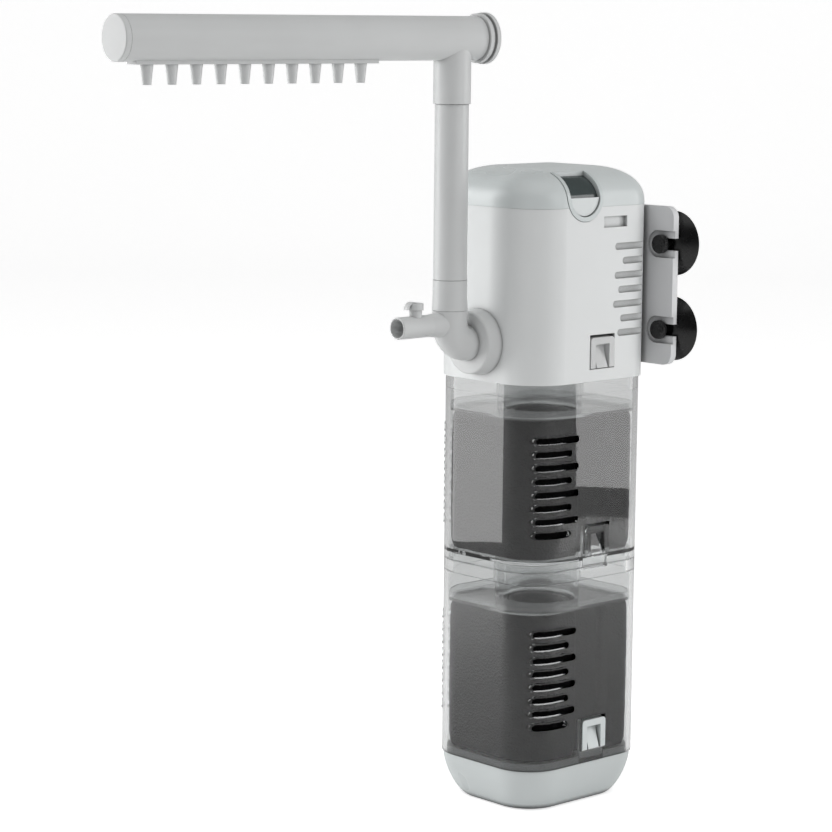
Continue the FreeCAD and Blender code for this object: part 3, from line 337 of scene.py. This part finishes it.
# ---- Sponges -------------------------------------------------------------------------
# Open-cell black foam blocks, cut to the cup's shape with a hole for the core and a groove down
# each side for the latch tongues. They are cut from sheet, so their faces show torn cells.
foam_columns = 220
foam_rows = 46
foam_crown = 0.0012
foam_tear = 0.00035
foam_clear = 0.0004          # how far the foam's faces stay inside its space
foam_edge = 0.004            # height over which the foam's ends are crowned
foam_bulge = 0.0004
front_corner = 0.0155
back_corner = 0.011
groove_half = 0.0088
groove_depth = 0.0049
groove_y = 0.0042
groove_blend = 0.0012
core_hole = 0.0140


def foam_outline(low, high):
    """Points round the foam's plan: a rounded block with a groove in each flat side."""
    points = []
    corners = ((high.x, high.y, back_corner, 0), (low.x, high.y, back_corner, 90),
               (low.x, low.y, front_corner, 180), (high.x, low.y, front_corner, 270))
    for corner_x, corner_y, radius, start in corners:
        centre = Vector((corner_x - math.copysign(radius, corner_x),
                         corner_y - math.copysign(radius, corner_y)))
        for step in range(13):
            angle = math.radians(start + 7.5 * step)
            points.append(centre + radius * Vector((math.cos(angle), math.sin(angle))))
    lengths = [(points[i] - points[i - 1]).length for i in range(len(points))]
    total = sum(lengths)
    outline = []
    for column in range(foam_columns):
        along = total * column / foam_columns
        index = 0
        while along > lengths[index]:
            along -= lengths[index]
            index += 1
        start, end = points[index - 1], points[index]
        point = start.lerp(end, along / lengths[index])
        near = 1.0 - min(1.0, max(0.0, (abs(point.y - groove_y) - groove_half) / groove_blend))
        if near > 0.0 and abs(point.x) > groove_half:
            point = Vector((point.x - math.copysign(groove_depth * near, point.x), point.y))
        outline.append(point)
    return outline


def foam_block(name, low, high):
    """Closed foam block: crowned edges, a round middle hole and torn cells all over."""
    outline = foam_outline(low, high)
    mesh = bmesh.new()
    rings = []
    middle = Vector(((low.x + high.x) / 2, (low.y + high.y) / 2))
    for row in range(foam_rows + 1):
        share = row / foam_rows
        z = low.z + (high.z - low.z) * share
        end = min(share, 1.0 - share) * (high.z - low.z)
        pull = foam_crown * max(0.0, 1.0 - end / foam_edge) ** 2
        bulge = foam_bulge * math.sin(math.pi * share)
        ring = []
        for point in outline:
            inward = (middle - point).normalized()
            spot = point + inward * (pull + foam_tear + foam_clear - bulge)
            ring.append(mesh.verts.new((spot.x, spot.y, z)))
        rings.append(ring)
    hole_rings = []
    for z, shares in ((high.z, (0.25, 0.5, 0.75, 1.0)), (low.z, (1.0, 0.75, 0.5, 0.25))):
        for share in shares:
            ring = []
            for point in outline:
                offset = point - middle
                target = middle + offset.normalized() * core_hole
                start = middle + offset * (1.0 - (foam_crown + foam_tear + foam_clear) / offset.length)
                spot = start.lerp(target, share)
                ring.append(mesh.verts.new((spot.x, spot.y, z)))
            hole_rings.append(ring)
    loops = rings + hole_rings + [rings[0]]
    for lower, upper in zip(loops[:-1], loops[1:]):
        for column in range(foam_columns):
            following = (column + 1) % foam_columns
            mesh.faces.new((lower[column], lower[following], upper[following], upper[column]))
    mesh.normal_update()
    for vertex in mesh.verts:
        torn = noise.noise(vertex.co * 900.0) * 0.6 + noise.noise(vertex.co * 320.0) * 0.4
        vertex.co += vertex.normal * (torn - 0.4) * foam_tear
    for vertex in mesh.verts:
        vertex.co.z = min(max(vertex.co.z, low.z), high.z)
    for face in mesh.faces:
        face.smooth = True
    data = bpy.data.meshes.new(name)
    mesh.to_mesh(data)
    mesh.free()
    block = bpy.data.objects.new(name, data)
    bpy.context.scene.collection.objects.link(block)
    return block


def foam_material():
    """Near-black open-cell foam: painted shade darkens each cell's pit between slightly lighter struts."""
    material, tree, shader = new_material("filter foam")
    place = add_node(tree, "ShaderNodeTexCoord")
    cells = add_node(tree, "ShaderNodeTexVoronoi", {"Scale": 900.0, "Randomness": 1.0})
    clumps = add_node(tree, "ShaderNodeTexNoise", {"Scale": 120.0, "Detail": 3.0})
    tree.links.new(place.outputs["Object"], cells.inputs["Vector"])
    tree.links.new(place.outputs["Object"], clumps.inputs["Vector"])
    # Painted shade: each cell's middle is darker than its struts, as shade in the pits.
    shaded_pits = mix_colours(tree, cells.outputs["Distance"], (0.0015, 0.0015, 0.0015), (0.009, 0.009, 0.0095))
    body = mix_colours(tree, clumps.outputs["Fac"], shaded_pits, (0.004, 0.004, 0.004))
    tree.links.new(body, shader.inputs["Base Color"])
    tree.links.new(spread(tree, clumps.outputs["Fac"], 0.85, 1.0), shader.inputs["Roughness"])
    shader.inputs["Specular IOR Level"].default_value = 0.0
    bump = add_node(tree, "ShaderNodeBump", {"Strength": 0.6, "Distance": 0.0004})
    tree.links.new(cells.outputs["Distance"], bump.inputs["Height"])
    tree.links.new(bump.outputs["Normal"], shader.inputs["Normal"])
    return material


foam_black = foam_material()
for level in ("upper", "lower"):
    foam_low, foam_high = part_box(f"{level}_sponge")
    foam = foam_block(f"{level}_foam", foam_low, foam_high)
    foam.data.materials.append(foam_black)
    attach(foam, "power_head")
    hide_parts(f"{level}_sponge")


# ---- Pump and sponge cores -----------------------------------------------------------
# What works inside: dark moulded pump parts, a ground ceramic shaft, a sealed ferrite magnet,
# a stack of steel laminations with two enamelled windings, and four steel screws.
pump_plastic = moulded("pump plastic", (0.030, 0.032, 0.034), 0.45)
for name in ("pump_chamber", "impeller_cover", "impeller", "upper_core", "lower_core"):
    finish_node(name, pump_plastic)
finish_node("shaft", moulded("ceramic", (0.80, 0.79, 0.75), 0.22, grain_depth=0.000005))
finish_node("shaft_bushings", gland_rubber)
finish_node("rotor_magnet", moulded("magnet sleeve", (0.05, 0.05, 0.052), 0.35))


def banded_metal(name, colour, pitch, direction, roughness, depth):
    """Metal laid in fine bands, as laminations or turns of wire are."""
    material, tree, shader = new_material(name)
    shader.inputs["Metallic"].default_value = 1.0
    texture = use_group(tree, mould_group, Dust_Amount=0.1)
    place = add_node(tree, "ShaderNodeTexCoord")
    bands = add_node(tree, "ShaderNodeTexWave", {"Scale": pitch, "Distortion": 0.4},
                     bands_direction=direction)
    tree.links.new(place.outputs["Object"], bands.inputs["Vector"])
    tree.links.new(mix_colours(tree, bands.outputs["Fac"], shade(colour, 0.55), colour),
                   shader.inputs["Base Color"])
    tree.links.new(spread(tree, texture.outputs["Drift"], roughness - 0.08, roughness + 0.1),
                   shader.inputs["Roughness"])
    bump = add_node(tree, "ShaderNodeBump", {"Strength": 0.6, "Distance": depth})
    tree.links.new(bands.outputs["Fac"], bump.inputs["Height"])
    tree.links.new(bump.outputs["Normal"], shader.inputs["Normal"])
    return material


finish_node("stator_core", banded_metal("laminations", (0.50, 0.50, 0.51), 600.0, "Z", 0.4, 0.0001))
finish_node("stator_coils", banded_metal("windings", (0.62, 0.25, 0.10), 500.0, "Y", 0.3, 0.0002))
finish_node("chamber_screws", banded_metal("screw steel", (0.60, 0.60, 0.61), 700.0, "Z", 0.25, 0.0001))


# ---- Floor, lights and camera --------------------------------------------------------
# The filter stands on a pale floor that curves up behind it, between two strip lights and under
# large soft ones. Nothing here depends on where it is seen from but the camera and the floor's turn.
floor_reach = 2.5
floor_rise = 1.6
floor_curve = 0.8
floor_half_width = 4.0
floor_camera_glow = 0.55
lights_aim_height = 0.17


def build_floor():
    """Sheet that lies flat under the filter and curves up well behind it."""
    profile = [(-floor_reach, 0.0), (floor_reach, 0.0)]
    for step in range(1, 13):
        angle = math.radians(90.0 * step / 12)
        profile.append((floor_reach + floor_curve * math.sin(angle), floor_curve * (1.0 - math.cos(angle))))
    profile.append((floor_reach + floor_curve, floor_curve + floor_rise))
    mesh = bmesh.new()
    sides = []
    for x in (-floor_half_width, floor_half_width):
        sides.append([mesh.verts.new((x, y, z)) for y, z in profile])
    for index in range(len(profile) - 1):
        mesh.faces.new((sides[0][index], sides[1][index], sides[1][index + 1], sides[0][index + 1]))
    for face in mesh.faces:
        face.smooth = True
    data = bpy.data.meshes.new("floor")
    mesh.to_mesh(data)
    mesh.free()
    sheet = bpy.data.objects.new("floor", data)
    bpy.context.scene.collection.objects.link(sheet)
    return sheet


view_azimuth = math.radians(47.54)
view_elevation = math.radians(8.35)
view_roll = math.radians(0.52)
view_distance = 1.2334
view_lens = 119.1
aim_height = 0.1721
aim_aside = -0.0553

floor = build_floor()
floor.rotation_euler.z = view_azimuth
floor_material, floor_tree, floor_shader = new_material("studio floor")
floor_texture = use_group(floor_tree, mould_group, Grain_Scale=300.0, Drift_Scale=1.2, Dust_Amount=0.0)
floor_ray = add_node(floor_tree, "ShaderNodeLightPath")
floor_tree.links.new(
    mix_colours(floor_tree, floor_texture.outputs["Drift"], (0.90, 0.90, 0.90), (0.93, 0.93, 0.93)),
    floor_shader.inputs["Base Color"])
floor_shader.inputs["Roughness"].default_value = 0.8
floor_glow = add_node(floor_tree, "ShaderNodeMath", {1: floor_camera_glow}, operation="MULTIPLY")
floor_tree.links.new(floor_ray.outputs["Is Camera Ray"], floor_glow.inputs[0])
floor_shader.inputs["Emission Color"].default_value = (1.0, 1.0, 1.0, 1.0)
floor_tree.links.new(floor_glow.outputs["Value"], floor_shader.inputs["Emission Strength"])
floor.data.materials.append(floor_material)


def soft_light(name, azimuth, elevation, distance, width, height, power):
    """Rectangular soft light that faces the middle of the filter."""
    data = bpy.data.lights.new(name, "AREA")
    data.shape = "RECTANGLE"
    data.size = width
    data.size_y = height
    data.energy = power
    lamp = bpy.data.objects.new(name, data)
    turn, lift = math.radians(azimuth), math.radians(elevation)
    direction = Vector((math.sin(turn) * math.cos(lift), -math.cos(turn) * math.cos(lift), math.sin(lift)))
    lamp.location = Vector((0.0, 0.0, lights_aim_height)) + direction * distance
    lamp.rotation_euler = direction.to_track_quat("Z", "Y").to_euler()
    lamp.visible_camera = False
    lamp.visible_transmission = False
    bpy.context.scene.collection.objects.link(lamp)


soft_light("overhead softbox", 30.0, 75.0, 1.6, 1.6, 1.6, 7.0)
soft_light("left softbox", -45.0, 22.0, 1.5, 0.6, 1.0, 4.0)
soft_light("right softbox", 100.0, 25.0, 1.5, 0.8, 1.1, 3.5)
soft_light("left strip", -47.0, 10.0, 0.45, 0.16, 0.44, 0.85)
soft_light("right strip", 142.0, 10.0, 0.7, 0.22, 0.55, 1.3)

world = bpy.data.worlds.new("studio")
bpy.context.scene.world = world
world.use_nodes = True
backdrop = world.node_tree.nodes["Background"]
backdrop.inputs["Color"].default_value = (1.0, 1.0, 1.0, 1.0)
ray = add_node(world.node_tree, "ShaderNodeLightPath")
softer = add_node(world.node_tree, "ShaderNodeMath", operation="MAXIMUM")
partly = add_node(world.node_tree, "ShaderNodeMath", {1: 0.40}, operation="MULTIPLY")
bright = add_node(world.node_tree, "ShaderNodeMath", operation="MAXIMUM")
level = add_node(world.node_tree, "ShaderNodeMapRange", {"To Min": 0.06, "To Max": 1.0})
world_link = world.node_tree.links.new
world_link(ray.outputs["Is Transmission Ray"], softer.inputs[0])
world_link(ray.outputs["Is Diffuse Ray"], softer.inputs[1])
world_link(softer.outputs["Value"], partly.inputs[0])
world_link(partly.outputs["Value"], bright.inputs[0])
world_link(ray.outputs["Is Camera Ray"], bright.inputs[1])
world_link(bright.outputs["Value"], level.inputs["Value"])
world_link(level.outputs["Result"], backdrop.inputs["Strength"])
bpy.context.scene.view_settings.view_transform = "Standard"

right = Vector((math.cos(view_azimuth), math.sin(view_azimuth), 0.0))
back = Vector((math.sin(view_azimuth) * math.cos(view_elevation),
               -math.cos(view_azimuth) * math.cos(view_elevation),
               math.sin(view_elevation)))
up = back.cross(right)
rolled_right = right * math.cos(view_roll) + up * math.sin(view_roll)
rolled_up = up * math.cos(view_roll) - right * math.sin(view_roll)
camera_data = bpy.data.cameras.new("product camera")
camera_data.lens = view_lens
camera_data.clip_end = 20.0
camera = bpy.data.objects.new("product camera", camera_data)
placing = Matrix((rolled_right, rolled_up, back)).transposed().to_4x4()
placing.translation = Vector((0.0, 0.0, aim_height)) + right * aim_aside + back * view_distance
camera.matrix_world = placing
bpy.context.scene.collection.objects.link(camera)
bpy.context.scene.camera = camera
